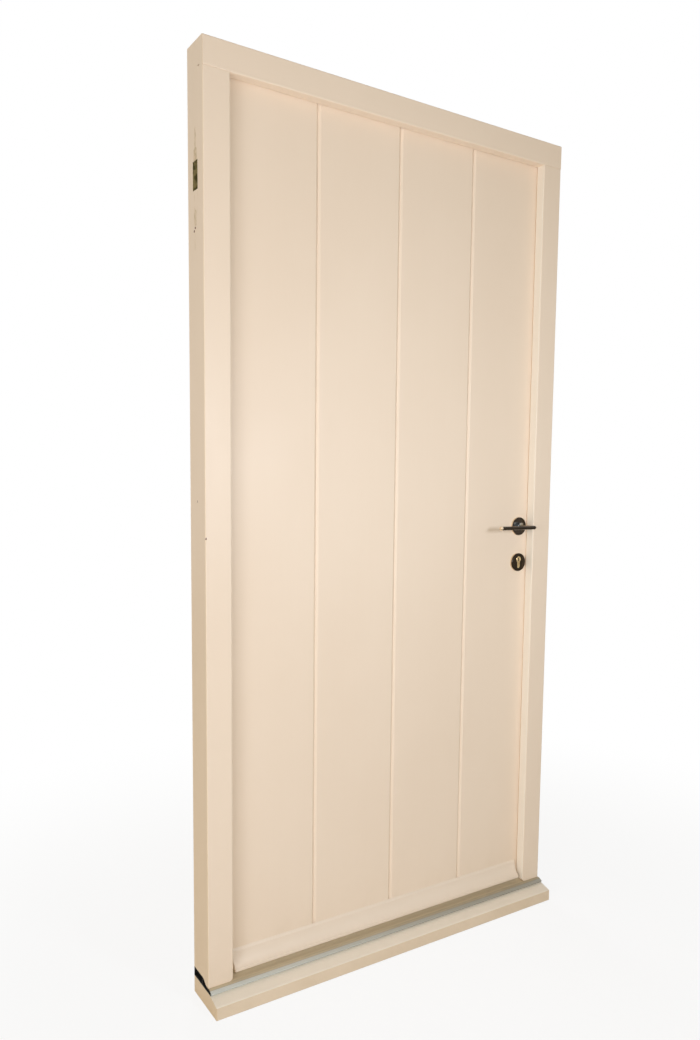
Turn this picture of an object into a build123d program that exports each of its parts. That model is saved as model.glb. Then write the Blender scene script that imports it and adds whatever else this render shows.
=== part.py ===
from build123d import *
import os
from math import radians, sin

# Boarded timber entrance door in its rebated frame, opening inwards.
# X runs along the width, the hinges at minus X. Y runs inwards from the outer face of the frame.
# Z runs up from the underside of the sill. All lengths are in millimetres.

# Frame
frame_width = 1000.0
frame_height = 2100.0
frame_face = 60.0
stop_depth = 27.0
frame_arris = 3.0
pocket_width = 27.0
pocket_height = 59.0
pocket_depth = 20.0
pocket_setback = 32.0
pocket_level = 1803.5
foot_rounding = 10.0

# Sill
sill_projection = 50.0
sill_thickness = 40.0
sill_nose = 31.0
sill_arris = 2.5

# Threshold extrusion, heights above the sill
threshold_height = 21.0
threshold_nose = 17.0
threshold_foot = 14.0
threshold_lip_low = 2.5
threshold_lip_high = 5.5
threshold_bevel = 11.0
threshold_shelf = 10.5
threshold_ramp_start = 8.0
threshold_ramp_run = 28.0
threshold_wall = 2.0
scribe_clearance = 0.2

# Leaf
board_thickness = 20.0
framing_thickness = 38.0
stop_overlap = 10.0
running_gap = 4.0
board_count = 4
board_width = 222.5
joint_bevel = 6.0
joint_depth = 4.0
tongue_thickness = 6.0
tongue_length = 8.0
tongue_clearance = 0.3
leaf_arris = 1.5

# Framing behind the boards
stile_width = 115.0
top_rail_height = 115.0
middle_rail_height = 170.0
bottom_rail_height = 200.0
rail_below_lock = 15.0
panel_chamfer = 6.0
tenon_thickness = 13.0
tenon_length = 45.0
tenon_shoulder = 18.0
tenon_clearance = 1.0

# Weatherboard
weatherboard_projection = 23.0
weatherboard_height = 46.5
weatherboard_clearance = 2.0
weatherboard_end_gap = 8.5
weatherboard_bevel_run = 4.0
weatherboard_bevel_drop = 6.5
weatherboard_lip = 7.0
weatherboard_quirk = 1.8
throat_width = 5.0
throat_depth = 4.0
throat_setback = 5.0

# Seals
seal_gap = 3.0
seal_width = 8.0
seal_inset = 1.0
seal_stem = 2.6
seal_chamfer = 1.0
seal_clearance = 0.3
kerf_width = 3.0
kerf_depth = 7.0

# Hinges
hinge_height = 100.0
hinge_from_top = 180.0
hinge_from_bottom = 230.0
flap_width = 33.0
flap_thickness = 2.5
flap_set = 1.0
knuckle_radius = 6.0
knuckle_clearance = 0.25
pin_radius = 3.0
pin_running_clearance = 0.08
pin_end_gap = 3.0

# Lock
handle_height = 1077.0
lock_backset = 40.0
lock_centres = 92.0
faceplate_width = 22.0
faceplate_thickness = 3.0
faceplate_above = 63.0
faceplate_below = 172.0
case_thickness = 18.0
case_wall = 1.5
case_behind = 30.0
case_above = 45.0
case_below = 150.0
case_clearance = 0.5
bolt_clearance = 0.3
latch_thickness = 12.0
latch_height = 22.0
latch_above = 13.0
latch_length = 35.0
tail_thickness = 3.0
tail_above = 14.0
tail_height = 7.0
lug_length = 6.0
dead_bolt_thickness = 14.0
dead_bolt_height = 22.0
dead_bolt_above = 18.0
dead_bolt_length = 48.0
dead_bolt_throw = 20.0
strike_width = 24.0
strike_thickness = 3.0
strike_above = 57.0
strike_below = 112.0
strike_clearance = 2.0

# Follower and spindle
handle_travel = 40.0
spindle_width = 8.0
spindle_fit = 0.05
follower_radius = 8.5
arm_radius = 17.5
arm_width = 3.0
arm_thickness = 6.0
arm_tip_radius = 3.0
spindle_bore_radius = 10.0

# Profile cylinder
cylinder_radius = 8.5
cylinder_leg_width = 10.0
cylinder_leg_drop = 24.5
cylinder_recess = 1.0
cylinder_bore_clearance = 1.5
plug_radius = 6.5
plug_running_clearance = 0.08
cam_width = 9.6
cam_gap = 10.0
cam_radius = 8.0
cam_reach = 15.0
cam_tooth_width = 7.0
cam_clearance = 0.6

# Levers, roses and escutcheons
rose_radius = 25.0
rose_thickness = 6.0
escutcheon_thickness = 8.0
hub_radius = 10.5
hub_length = 9.0
hub_clearance = 0.4
hub_lift = 1.0
socket_depth = 12.0
lever_radius = 5.0
lever_projection = 65.0
lever_reach = 117.0

# How far a cut runs past the piece that it cuts
overrun = 1.0

# Places worked out from the sizes above
leaf_front = stop_depth + seal_gap
framing_front = leaf_front + board_thickness
leaf_back = framing_front + framing_thickness
frame_depth = leaf_back
half_frame = frame_width / 2
half_opening = half_frame - frame_face
half_leaf = half_opening + stop_overlap
rebate_side = half_leaf + running_gap
head_under = frame_height - frame_face
leaf_top = head_under + stop_overlap
rebate_top = leaf_top + running_gap
threshold_top = sill_thickness + threshold_height
leaf_bottom = threshold_top + running_gap
lock_plane = framing_front + framing_thickness / 2
spindle_x = half_leaf - lock_backset
arm_swing = arm_radius * sin(radians(handle_travel / 2))
latch_throw = 2 * arm_swing
plug_level = handle_height - lock_centres
case_front = half_leaf - faceplate_thickness
case_back = spindle_x - case_behind
case_top = handle_height + case_above
case_bottom = handle_height - case_below
stile_inner = half_leaf - stile_width
pivot_x = -half_leaf - running_gap / 2
pivot_y = frame_depth + knuckle_radius
seal_middle = seal_inset + seal_width / 2
middle_rail_top = case_bottom - rail_below_lock
rail_spans = {
    "top_rail": (leaf_top - top_rail_height, leaf_top),
    "middle_rail": (middle_rail_top - middle_rail_height, middle_rail_top),
    "bottom_rail": (leaf_bottom, leaf_bottom + bottom_rail_height),
}
hinge_levels = {
    "top": leaf_top - hinge_from_top,
    "middle": (leaf_top - hinge_from_top + leaf_bottom + hinge_from_bottom) / 2,
    "bottom": leaf_bottom + hinge_from_bottom,
}


def block(x_low, x_high, y_low, y_high, z_low, z_high):
    """Rectangular solid between two corners."""
    middle = Pos((x_low + x_high) / 2, (y_low + y_high) / 2, (z_low + z_high) / 2)
    return middle * Box(x_high - x_low, y_high - y_low, z_high - z_low)


def rectangle(u_low, u_high, v_low, v_high):
    """Rectangular face between two corners."""
    middle = Pos((u_low + u_high) / 2, (v_low + v_high) / 2)
    return middle * Rectangle(u_high - u_low, v_high - v_low)


def outline(*runs):
    """Face closed by runs of lines and arcs that meet end to end."""
    return make_face([edge for run in runs for edge in run.edges()])


def along_x(section, start, end):
    """Solid with a section drawn in Y and Z, from one X to another."""
    return extrude(Plane.YZ.offset(start) * section, amount=end - start, dir=(1, 0, 0))


def along_y(section, start, end):
    """Solid with a section drawn in X and Z, from one Y to another."""
    return extrude(Plane.XZ.offset(-start) * section, amount=end - start, dir=(0, 1, 0))


def along_z(section, start, end):
    """Solid with a section drawn in X and Y, from one Z to another."""
    return extrude(Plane.XY.offset(start) * section, amount=end - start, dir=(0, 0, 1))


def turned_in(part):
    """The same piece on the inner face of the leaf, turned over about its middle plane."""
    middle = Plane.XZ.offset(-(leaf_front + leaf_back) / 2)
    return mirror(part, about=middle)


# Frame members


def threshold_section(back):
    """Outer section of the threshold: nose, shelf, ramp of two arcs and flat top, up to a back."""
    base = sill_thickness
    shelf = base + threshold_shelf
    ramp_end = threshold_ramp_start + threshold_ramp_run
    ramp_middle = (threshold_ramp_start + threshold_ramp_run / 2, (shelf + threshold_top) / 2)
    front = Polyline(
        (back, base),
        (-threshold_foot, base),
        (-threshold_nose, base + threshold_lip_low),
        (-threshold_nose, base + threshold_lip_high),
        (threshold_bevel - threshold_nose, shelf),
        (threshold_ramp_start, shelf),
    )
    lower = TangentArc((threshold_ramp_start, shelf), ramp_middle, tangent=(1, 0))
    upper = TangentArc(ramp_middle, (ramp_end, threshold_top), tangent=lower % 1)
    top = Polyline((ramp_end, threshold_top), (back, threshold_top), (back, base))
    return outline(front, lower, upper, top)


def threshold_seat():
    """Everything that the jambs leave room for below them."""
    end = half_frame + overrun
    back = frame_depth + overrun
    raised = Pos(0, scribe_clearance) * threshold_section(back)
    below = rectangle(-overrun, back, -overrun, sill_thickness + threshold_lip_low)
    return along_x(raised + below, -end, end)


def foot_corner():
    """What rounds off the inner corner of the right jamb's foot."""
    low = sill_thickness + threshold_shelf + scribe_clearance
    inner = half_opening + foot_rounding
    corner = rectangle(half_opening - overrun, inner, low - overrun, low + foot_rounding)
    corner -= Pos(inner, low + foot_rounding) * Circle(foot_rounding)
    return along_y(corner, -overrun, stop_depth + overrun)


def jamb():
    """Right jamb: stop, rebate, seal kerf, top stepped into the head, foot scribed to the threshold."""
    section = rectangle(half_opening, half_frame, 0, frame_depth)
    section -= rectangle(half_opening - overrun, rebate_side, stop_depth, frame_depth + overrun)
    kerf = half_opening + seal_middle
    half = kerf_width / 2
    section -= rectangle(kerf - half, kerf + half, stop_depth - kerf_depth, stop_depth + overrun)
    section = fillet(section.vertices().group_by(Axis.Y)[0], radius=frame_arris)
    body = along_z(section, 0, rebate_top)
    far = half_frame + overrun
    body -= block(half_opening - overrun, far, -overrun, stop_depth, head_under, rebate_top + overrun)
    return body - threshold_seat() - foot_corner()


def hinge_jamb():
    """Left jamb with hinge recesses in its rebate and a fixing pocket in its outer side."""
    body = mirror(jamb(), about=Plane.YZ)
    for level in hinge_levels.values():
        body -= flap_recess(-rebate_side - flap_thickness, -rebate_side + overrun, level)
    return body - block(
        -half_frame - overrun,
        -half_frame + pocket_depth,
        pocket_setback,
        pocket_setback + pocket_width,
        pocket_level,
        pocket_level + pocket_height,
    )


def lock_jamb():
    """Right jamb with a recess for the strike plate and mortices for the two bolts."""
    body = jamb() - strike_blank(rebate_side - overrun, rebate_side + strike_thickness)
    return body - bolt_way("latch", latch_throw) - bolt_way("dead_bolt", dead_bolt_throw)


def frame_head():
    """Head over both jambs, with stop, rebate and seal kerf."""
    section = rectangle(0, frame_depth, head_under, frame_height)
    section -= rectangle(stop_depth, frame_depth + overrun, head_under - overrun, rebate_top)
    kerf = head_under + seal_middle
    half = kerf_width / 2
    section -= rectangle(stop_depth - kerf_depth, stop_depth + overrun, kerf - half, kerf + half)
    section = fillet(section.vertices().group_by(Axis.X)[0], radius=frame_arris)
    return along_x(section, -half_frame, half_frame)


def sill():
    """Timber sill with a weathered front."""
    section = outline(
        Polyline(
            (frame_depth, 0),
            (frame_depth, sill_thickness),
            (-threshold_foot, sill_thickness),
            (-sill_projection, sill_nose),
            (-sill_projection, 0),
            (frame_depth, 0),
        )
    )
    section = fillet(section.vertices().group_by(Axis.X)[0], radius=sill_arris)
    return along_x(section, -half_frame, half_frame)


def threshold():
    """Hollow extrusion, open at its ends, with a web under the top of the ramp."""
    section = threshold_section(frame_depth)
    chamber = offset(section, amount=-threshold_wall, kind=Kind.INTERSECTION)
    web = threshold_ramp_start + threshold_ramp_run
    chamber -= rectangle(web, web + threshold_wall, sill_thickness, threshold_top)
    return along_x(section - chamber, -half_frame, half_frame)


def seal_section(along, across):
    """Bulb and stem of a stop seal, for a kerf that opens towards the leaf."""
    half = seal_width / 2
    bulb = rectangle(along - half, along + half, stop_depth, leaf_front - seal_clearance)
    bulb = chamfer(bulb.vertices().group_by(Axis.Y)[-1], length=seal_chamfer)
    stem = rectangle(along - seal_stem / 2, along + seal_stem / 2, across, stop_depth)
    return bulb + stem


def side_seal():
    """Seal in the right jamb, from the threshold up to the head."""
    section = seal_section(half_opening + seal_middle, stop_depth - kerf_depth + seal_clearance)
    return along_z(section, threshold_top + seal_clearance, head_under)


def head_seal():
    """Seal in the head, across the tops of the side seals."""
    section = seal_section(head_under + seal_middle, stop_depth - kerf_depth + seal_clearance)
    upright = mirror(Rot(0, 0, 90) * section, about=Plane.YZ)
    end = half_opening + seal_inset + seal_width
    return along_x(upright, -end, end)


# Hinges


def flap_recess(x_low, x_high, level):
    """Room for one hinge flap in the edge of a jamb or stile."""
    low = level - hinge_height / 2
    return block(x_low, x_high, frame_depth - flap_width, frame_depth + overrun, low, low + hinge_height)


def knuckle_span(level, side):
    """Heights of one half's knuckle: the frame's below, the leaf's resting on it."""
    if side == "frame":
        return level - hinge_height / 2, level - knuckle_clearance / 2
    return level + knuckle_clearance / 2, level + hinge_height / 2


def hinge_flap(level, side):
    """Half of a lift-off hinge: flap let into the wood, web and knuckle round the pin."""
    if side == "frame":
        x_low = -rebate_side - flap_thickness
        bore = pin_radius
    else:
        x_low = -half_leaf
        bore = pin_radius + pin_running_clearance
    x_high = x_low + flap_thickness
    low = level - hinge_height / 2
    edge = frame_depth - flap_set
    bottom, top = knuckle_span(level, side)
    body = block(x_low, x_high, frame_depth - flap_width, edge, low, low + hinge_height)
    body += block(x_low, x_high, edge, pivot_y, bottom, top)
    body += along_z(Pos(pivot_x, pivot_y) * Circle(knuckle_radius), bottom, top)
    return body - along_z(Pos(pivot_x, pivot_y) * Circle(bore), bottom, top)


def hinge_pin(level):
    """Pin fixed in the frame's knuckle, reaching up into the leaf's."""
    half = hinge_height / 2
    return along_z(Pos(pivot_x, pivot_y) * Circle(pin_radius), level - half, level + half - pin_end_gap)


# Leaf


def board_edges():
    """Joints between the boards from the hinge side, the first board taking what is left."""
    joints = [half_leaf - board_width * n for n in range(board_count - 1, 0, -1)]
    return [-half_leaf, *joints, half_leaf]


def face_bevel(edge, run, depth):
    """What bevels a board's face edge, from the edge along the face by a run and down by a depth."""
    start = (edge + run, leaf_front)
    return outline(Polyline(start, (edge, leaf_front), (edge, leaf_front + depth), start))


def board(number):
    """One board with its tongue to the right, its groove to the left and bevelled face edges."""
    left, right = board_edges()[number - 1 : number + 1]
    first = number == 1
    last = number == board_count
    middle = leaf_front + board_thickness / 2
    section = rectangle(left, right, leaf_front, framing_front)
    if first:
        section -= face_bevel(left, leaf_arris, leaf_arris)
    else:
        section -= face_bevel(left, joint_bevel, joint_depth)
    if last:
        section -= face_bevel(right, -leaf_arris, leaf_arris)
    else:
        section -= face_bevel(right, -joint_bevel, joint_depth)
    if not last:
        half = tongue_thickness / 2
        section += rectangle(right, right + tongue_length, middle - half, middle + half)
    if not first:
        half = tongue_thickness / 2 + tongue_clearance
        groove_end = left + tongue_length + tongue_clearance
        section -= rectangle(left - overrun, groove_end, middle - half, middle + half)
    return along_z(section, leaf_bottom, leaf_top) - leaf_bores()


def leaf_bores():
    """Holes through the leaf for the spindle and the cylinder."""
    spindle_hole = Pos(spindle_x, handle_height) * Circle(spindle_bore_radius)
    holes = spindle_hole + cylinder_slot(cylinder_bore_clearance)
    return along_y(holes, leaf_front - overrun, leaf_back + overrun)


def tenon_span(name):
    """Heights between which a rail's tenon stands."""
    low, high = rail_spans[name]
    return low + tenon_shoulder, high - tenon_shoulder


def panel_chamfers():
    """Chamfered rims of the two panels between the rails, seen from inside."""
    names = ["bottom_rail", "middle_rail", "top_rail"]
    cuts = Part()
    for lower, upper in zip(names, names[1:]):
        low = rail_spans[lower][1]
        high = rail_spans[upper][0]
        rim = Pos(0, leaf_back - panel_chamfer, (low + high) / 2)
        inner = rim * Plane.XZ * Rectangle(2 * stile_inner, high - low)
        wide = rim * Pos(0, panel_chamfer, 0) * Plane.XZ * Rectangle(
            2 * (stile_inner + panel_chamfer), high - low + 2 * panel_chamfer
        )
        cuts += loft([inner.face(), wide.face()])
    return cuts


def bottom_kerf():
    """Kerf along the foot of the framing for the bottom seal."""
    half = kerf_width / 2
    end = half_leaf + overrun
    low = leaf_bottom - overrun
    return block(-end, end, lock_plane - half, lock_plane + half, low, leaf_bottom + kerf_depth)


def stile():
    """Right stile, mortised for the three rails."""
    body = block(stile_inner, half_leaf, framing_front, leaf_back, leaf_bottom, leaf_top)
    half = tenon_thickness / 2
    bottom = stile_inner + tenon_length + tenon_clearance
    for name in rail_spans:
        low, high = tenon_span(name)
        body -= block(stile_inner - overrun, bottom, lock_plane - half, lock_plane + half, low, high)
    return body - panel_chamfers() - bottom_kerf()


def hinge_stile():
    """Left stile with its three hinge recesses."""
    body = mirror(stile(), about=Plane.YZ)
    for level in hinge_levels.values():
        body -= flap_recess(-half_leaf - overrun, -half_leaf + flap_thickness, level)
    return body


def lock_stile():
    """Right stile, mortised for the lock case and recessed for its faceplate."""
    half = case_thickness / 2 + case_clearance
    back = case_back - case_clearance
    low = case_bottom - case_clearance
    high = case_top + case_clearance
    mortice = block(back, half_leaf + overrun, lock_plane - half, lock_plane + half, low, high)
    recess = faceplate_blank(case_front, half_leaf + overrun)
    return stile() - mortice - recess - leaf_bores()


def rail(name):
    """Rail between the stiles with a stub tenon at each end."""
    low, high = rail_spans[name]
    body = block(-stile_inner, stile_inner, framing_front, leaf_back, low, high)
    tenon_low, tenon_high = tenon_span(name)
    half = tenon_thickness / 2
    end = stile_inner + tenon_length
    body += block(-end, end, lock_plane - half, lock_plane + half, tenon_low, tenon_high)
    return body - panel_chamfers() - bottom_kerf()


def weatherboard():
    """Drip board: bevelled top, hollow sweep out to a lip, throat underneath."""
    bottom = threshold_top + weatherboard_clearance
    top = bottom + weatherboard_height
    nose = leaf_front - weatherboard_projection
    sweep_start = (leaf_front - weatherboard_bevel_run, top - weatherboard_bevel_drop)
    sweep_end = (nose + weatherboard_quirk, bottom + weatherboard_lip)
    section = outline(
        Line((leaf_front, top), sweep_start),
        TangentArc(sweep_start, sweep_end, tangent=(0, -1)),
        Polyline(
            sweep_end,
            (nose, bottom + weatherboard_lip),
            (nose, bottom),
            (leaf_front, bottom),
            (leaf_front, top),
        ),
    )
    throat = nose + throat_setback
    section -= rectangle(throat, throat + throat_width, bottom - overrun, bottom + throat_depth)
    end = half_opening - weatherboard_end_gap
    return along_x(section, -end, end)


def bottom_seal():
    """Strip under the leaf that closes the gap to the threshold."""
    half = seal_width / 2
    blade = rectangle(lock_plane - half, lock_plane + half, threshold_top + seal_clearance, leaf_bottom)
    blade = chamfer(blade.vertices().group_by(Axis.Y)[0], length=seal_chamfer)
    half = seal_stem / 2
    stem_top = leaf_bottom + kerf_depth - seal_clearance
    stem = rectangle(lock_plane - half, lock_plane + half, leaf_bottom, stem_top)
    end = half_leaf - leaf_arris
    return along_x(blade + stem, -end, end)


# Lock


def bolt_heights(bolt):
    """Lowest and highest level of the latch or the dead bolt."""
    if bolt == "latch":
        low = handle_height + latch_above
        return low, low + latch_height
    low = plug_level + dead_bolt_above
    return low, low + dead_bolt_height


def bolt_opening(bolt, clearance):
    """Face in Y and Z of the hole that a bolt runs through, with room all round."""
    half = (latch_thickness if bolt == "latch" else dead_bolt_thickness) / 2 + clearance
    low, high = bolt_heights(bolt)
    return rectangle(lock_plane - half, lock_plane + half, low - clearance, high + clearance)


def bolt_way(bolt, throw):
    """Mortice in the jamb that a thrown bolt stands in."""
    end = half_leaf + throw + strike_clearance
    return along_x(bolt_opening(bolt, strike_clearance), rebate_side - overrun, end)


def faceplate_blank(x_low, x_high):
    """Outline of the lock faceplate, from one X to another."""
    half = faceplate_width / 2
    low = handle_height - faceplate_below
    return block(x_low, x_high, lock_plane - half, lock_plane + half, low, handle_height + faceplate_above)


def strike_blank(x_low, x_high):
    """Outline of the strike plate, from one X to another."""
    half = strike_width / 2
    low = handle_height - strike_below
    return block(x_low, x_high, lock_plane - half, lock_plane + half, low, handle_height + strike_above)


def cylinder_section(clearance):
    """Keyhole outline of the cylinder, round barrel and leg, in X and Z."""
    foot_radius = cylinder_leg_width / 2
    foot_level = plug_level - cylinder_leg_drop + foot_radius
    barrel = Pos(spindle_x, plug_level) * Circle(cylinder_radius + clearance)
    foot = Pos(spindle_x, foot_level) * Circle(foot_radius + clearance)
    half = foot_radius + clearance
    leg = rectangle(spindle_x - half, spindle_x + half, foot_level, plug_level)
    return barrel + leg + foot


def cylinder_slot(clearance):
    """Square-cut hole round the cylinder, in X and Z."""
    half = cylinder_radius + clearance
    low = plug_level - cylinder_leg_drop - clearance
    return rectangle(spindle_x - half, spindle_x + half, low, plug_level + half)


def lock_faceplate():
    """Plate in the edge of the leaf, with a hole for each bolt."""
    body = faceplate_blank(case_front, half_leaf)
    for bolt in ("latch", "dead_bolt"):
        body -= along_x(bolt_opening(bolt, bolt_clearance), case_front - overrun, half_leaf + overrun)
    return body


def lock_case():
    """Folded case behind the faceplate, open to it, pierced for follower and cylinder."""
    half = case_thickness / 2
    body = block(case_back, case_front, lock_plane - half, lock_plane + half, case_bottom, case_top)
    inner = half - case_wall
    body -= block(
        case_back + case_wall,
        case_front + overrun,
        lock_plane - inner,
        lock_plane + inner,
        case_bottom + case_wall,
        case_top - case_wall,
    )
    boss_hole = Pos(spindle_x, handle_height) * Circle(follower_radius + bolt_clearance)
    holes = boss_hole + cylinder_slot(bolt_clearance)
    return body - along_y(holes, lock_plane - half - overrun, lock_plane + half + overrun)


def lock_follower():
    """Hub on the spindle, turning in the sides of the case, with an arm that draws the latch."""
    half = case_thickness / 2
    centre = Pos(spindle_x, handle_height)
    body = along_y(centre * Circle(follower_radius), lock_plane - half, lock_plane + half)
    tip = Pos(0, arm_radius) * Circle(arm_tip_radius)
    arm = rectangle(-arm_width / 2, arm_width / 2, 0, arm_radius) + tip
    arm = centre * Rot(0, 0, -handle_travel / 2) * arm
    body += along_y(arm, lock_plane - arm_thickness / 2, lock_plane + arm_thickness / 2)
    hole = centre * Rectangle(spindle_width + 2 * spindle_fit, spindle_width + 2 * spindle_fit)
    return body - along_y(hole, lock_plane - half - overrun, lock_plane + half + overrun)


def latch_bolt():
    """Spring latch, bevelled towards the closing side, with a tail and a lug behind the arm."""
    low, high = bolt_heights("latch")
    nose = half_leaf + latch_throw
    half = latch_thickness / 2
    bevel = latch_thickness - tail_thickness
    head = outline(
        Polyline(
            (nose - latch_length, lock_plane - half),
            (nose - bevel, lock_plane - half),
            (nose, lock_plane - half + bevel),
            (nose, lock_plane + half),
            (nose - latch_length, lock_plane + half),
            (nose - latch_length, lock_plane - half),
        )
    )
    body = along_z(head, low, high)
    lug_front = spindle_x + arm_swing - arm_tip_radius - bolt_clearance
    tail_low = handle_height + tail_above
    tail_high = tail_low + tail_height
    side = lock_plane - half
    tail_end = lug_front - lug_length
    clear_of_arm = side + tail_thickness - bolt_clearance
    body += block(tail_end, nose - latch_length, side, clear_of_arm, tail_low, tail_high)
    return body + block(tail_end, lug_front, side, lock_plane + arm_thickness / 2, tail_low, tail_high)


def dead_bolt():
    """Square bolt, drawn back flush with the faceplate."""
    half = dead_bolt_thickness / 2
    low, high = bolt_heights("dead_bolt")
    return block(half_leaf - dead_bolt_length, half_leaf, lock_plane - half, lock_plane + half, low, high)


def strike_plate():
    """Plate in the jamb with a hole for each bolt."""
    body = strike_blank(rebate_side, rebate_side + strike_thickness)
    return body - bolt_way("latch", latch_throw) - bolt_way("dead_bolt", dead_bolt_throw)


# Cylinder


def cylinder_front():
    """Y of the cylinder's outer end, just inside the face of the escutcheon."""
    return leaf_front - escutcheon_thickness + cylinder_recess


def cylinder_back():
    """Y of the cylinder's inner end."""
    return leaf_back + escutcheon_thickness - cylinder_recess


def cylinder_body():
    """Profile body, bored for the plugs, parted in the middle for the cam."""
    body = along_y(cylinder_section(0), cylinder_front(), cylinder_back())
    bore = Pos(spindle_x, plug_level) * Circle(plug_radius + plug_running_clearance)
    body -= along_y(bore, cylinder_front() - overrun, cylinder_back() + overrun)
    half = cam_gap / 2
    side = cylinder_radius + overrun
    body -= block(
        spindle_x - side,
        spindle_x + side,
        lock_plane - half,
        lock_plane + half,
        plug_level - cam_reach - cam_clearance,
        plug_level + side,
    )
    return body


def plug(start, end):
    """Turning plug from one Y to another."""
    return along_y(Pos(spindle_x, plug_level) * Circle(plug_radius), start, end)


def cylinder_cam():
    """Cam between the plugs, its tooth pointing down as for fitting."""
    centre = Pos(spindle_x, plug_level)
    half = cam_tooth_width / 2
    section = centre * (Circle(cam_radius) + rectangle(-half, half, -cam_reach, 0))
    return along_y(section, lock_plane - cam_width / 2, lock_plane + cam_width / 2)


# Handles


def rose():
    """Round rose on the outer face, bored for the lever's hub."""
    face = leaf_front - rose_thickness
    disc = along_y(Pos(spindle_x, handle_height) * Circle(rose_radius), face, leaf_front)
    bore = Pos(spindle_x, handle_height) * Circle(hub_radius + hub_clearance)
    return disc - along_y(bore, face - overrun, leaf_front + overrun)


def escutcheon():
    """Round escutcheon on the outer face, centred on the cylinder's outline and pierced by it."""
    centre = plug_level + (cylinder_radius - cylinder_leg_drop) / 2
    face = leaf_front - escutcheon_thickness
    disc = along_y(Pos(spindle_x, centre) * Circle(rose_radius), face, leaf_front)
    return disc - along_y(cylinder_section(bolt_clearance), face - overrun, leaf_front + overrun)


def lever():
    """Outer lever: hub in the rose, slim round neck mitred into a bar towards the hinges."""
    hub_end = leaf_front - rose_thickness - hub_length
    hub_start = leaf_front - hub_lift
    hub = along_y(Pos(spindle_x, handle_height) * Circle(hub_radius), hub_end, hub_start)
    bar_y = leaf_front - lever_projection
    path = Pos(0, 0, handle_height) * Polyline(
        (spindle_x, hub_start - socket_depth),
        (spindle_x, bar_y),
        (spindle_x - lever_reach, bar_y),
    )
    profile = Plane(origin=path @ 0, z_dir=path % 0) * Circle(lever_radius)
    bar = sweep(profile, path=path, transition=Transition.RIGHT)
    width = spindle_width + 2 * spindle_fit
    socket = Pos(spindle_x, handle_height) * Rectangle(width, width)
    return hub + bar - along_y(socket, hub_start - socket_depth, hub_start + overrun)


def spindle():
    """Square bar through the follower and into both levers."""
    start = leaf_front - hub_lift - socket_depth + spindle_fit
    end = leaf_back + hub_lift + socket_depth - spindle_fit
    return along_y(Pos(spindle_x, handle_height) * Rectangle(spindle_width, spindle_width), start, end)


nodes = {
    "frame_head": frame_head(),
    "hinge_jamb": hinge_jamb(),
    "lock_jamb": lock_jamb(),
    "sill": sill(),
    "threshold": threshold(),
    "head_seal": head_seal(),
    "hinge_side_seal": mirror(side_seal(), about=Plane.YZ),
    "lock_side_seal": side_seal(),
    "strike_plate": strike_plate(),
    "hinge_stile": hinge_stile(),
    "lock_stile": lock_stile(),
    "weatherboard": weatherboard(),
    "bottom_seal": bottom_seal(),
    "lock_case": lock_case(),
    "lock_faceplate": lock_faceplate(),
    "lock_follower": lock_follower(),
    "latch_bolt": latch_bolt(),
    "dead_bolt": dead_bolt(),
    "cylinder_body": cylinder_body(),
    "cylinder_cam": cylinder_cam(),
    "outer_plug": plug(cylinder_front(), lock_plane - cam_width / 2),
    "inner_plug": plug(lock_plane + cam_width / 2, cylinder_back()),
    "outer_rose": rose(),
    "inner_rose": turned_in(rose()),
    "outer_escutcheon": escutcheon(),
    "inner_escutcheon": turned_in(escutcheon()),
    "outer_lever": lever(),
    "inner_lever": turned_in(lever()),
    "spindle": spindle(),
}
for name in rail_spans:
    nodes[name] = rail(name)
for number in range(1, board_count + 1):
    nodes[f"board_{number}"] = board(number)
for place, level in hinge_levels.items():
    nodes[f"hinge_{place}_frame_flap"] = hinge_flap(level, "frame")
    nodes[f"hinge_{place}_leaf_flap"] = hinge_flap(level, "leaf")
    nodes[f"hinge_{place}_pin"] = hinge_pin(level)

os.makedirs("parts", exist_ok=True)
for name, solid in nodes.items():
    export_step(solid, f"parts/{name}.step")
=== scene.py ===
"""Dresses a boarded timber entrance door and its frame for a studio picture.

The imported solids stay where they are. Softened copies of them stand for the painted timber, the
hinges and the door furniture, and the small fasteners and the keyway are added. Metres throughout.
"""

from __future__ import annotations

import logging
import math
from dataclasses import dataclass
from enum import Enum
from typing import Callable, ClassVar, Iterable, Mapping, NamedTuple, Sequence, Union

import bmesh
import bpy
from mathutils import Matrix, Vector


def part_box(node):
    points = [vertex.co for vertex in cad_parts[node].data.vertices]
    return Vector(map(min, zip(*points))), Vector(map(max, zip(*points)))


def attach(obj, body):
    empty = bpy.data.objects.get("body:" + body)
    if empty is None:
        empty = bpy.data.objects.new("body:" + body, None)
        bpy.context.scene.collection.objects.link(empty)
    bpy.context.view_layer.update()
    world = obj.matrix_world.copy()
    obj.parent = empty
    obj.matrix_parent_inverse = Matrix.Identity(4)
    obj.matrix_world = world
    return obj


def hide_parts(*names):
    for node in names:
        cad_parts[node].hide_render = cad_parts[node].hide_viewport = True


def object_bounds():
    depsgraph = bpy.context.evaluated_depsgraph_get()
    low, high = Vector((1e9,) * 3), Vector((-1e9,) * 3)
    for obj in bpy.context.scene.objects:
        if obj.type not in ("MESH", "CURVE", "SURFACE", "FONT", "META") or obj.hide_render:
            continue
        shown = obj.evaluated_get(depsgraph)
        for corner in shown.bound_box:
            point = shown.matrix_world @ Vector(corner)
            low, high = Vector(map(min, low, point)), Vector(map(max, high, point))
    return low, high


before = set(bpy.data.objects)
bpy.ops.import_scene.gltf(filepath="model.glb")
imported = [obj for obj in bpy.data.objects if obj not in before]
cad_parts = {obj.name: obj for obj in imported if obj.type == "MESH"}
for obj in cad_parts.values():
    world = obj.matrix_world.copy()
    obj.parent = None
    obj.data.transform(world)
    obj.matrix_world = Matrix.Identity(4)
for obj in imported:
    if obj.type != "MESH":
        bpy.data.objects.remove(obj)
cad_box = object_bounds()

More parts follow.
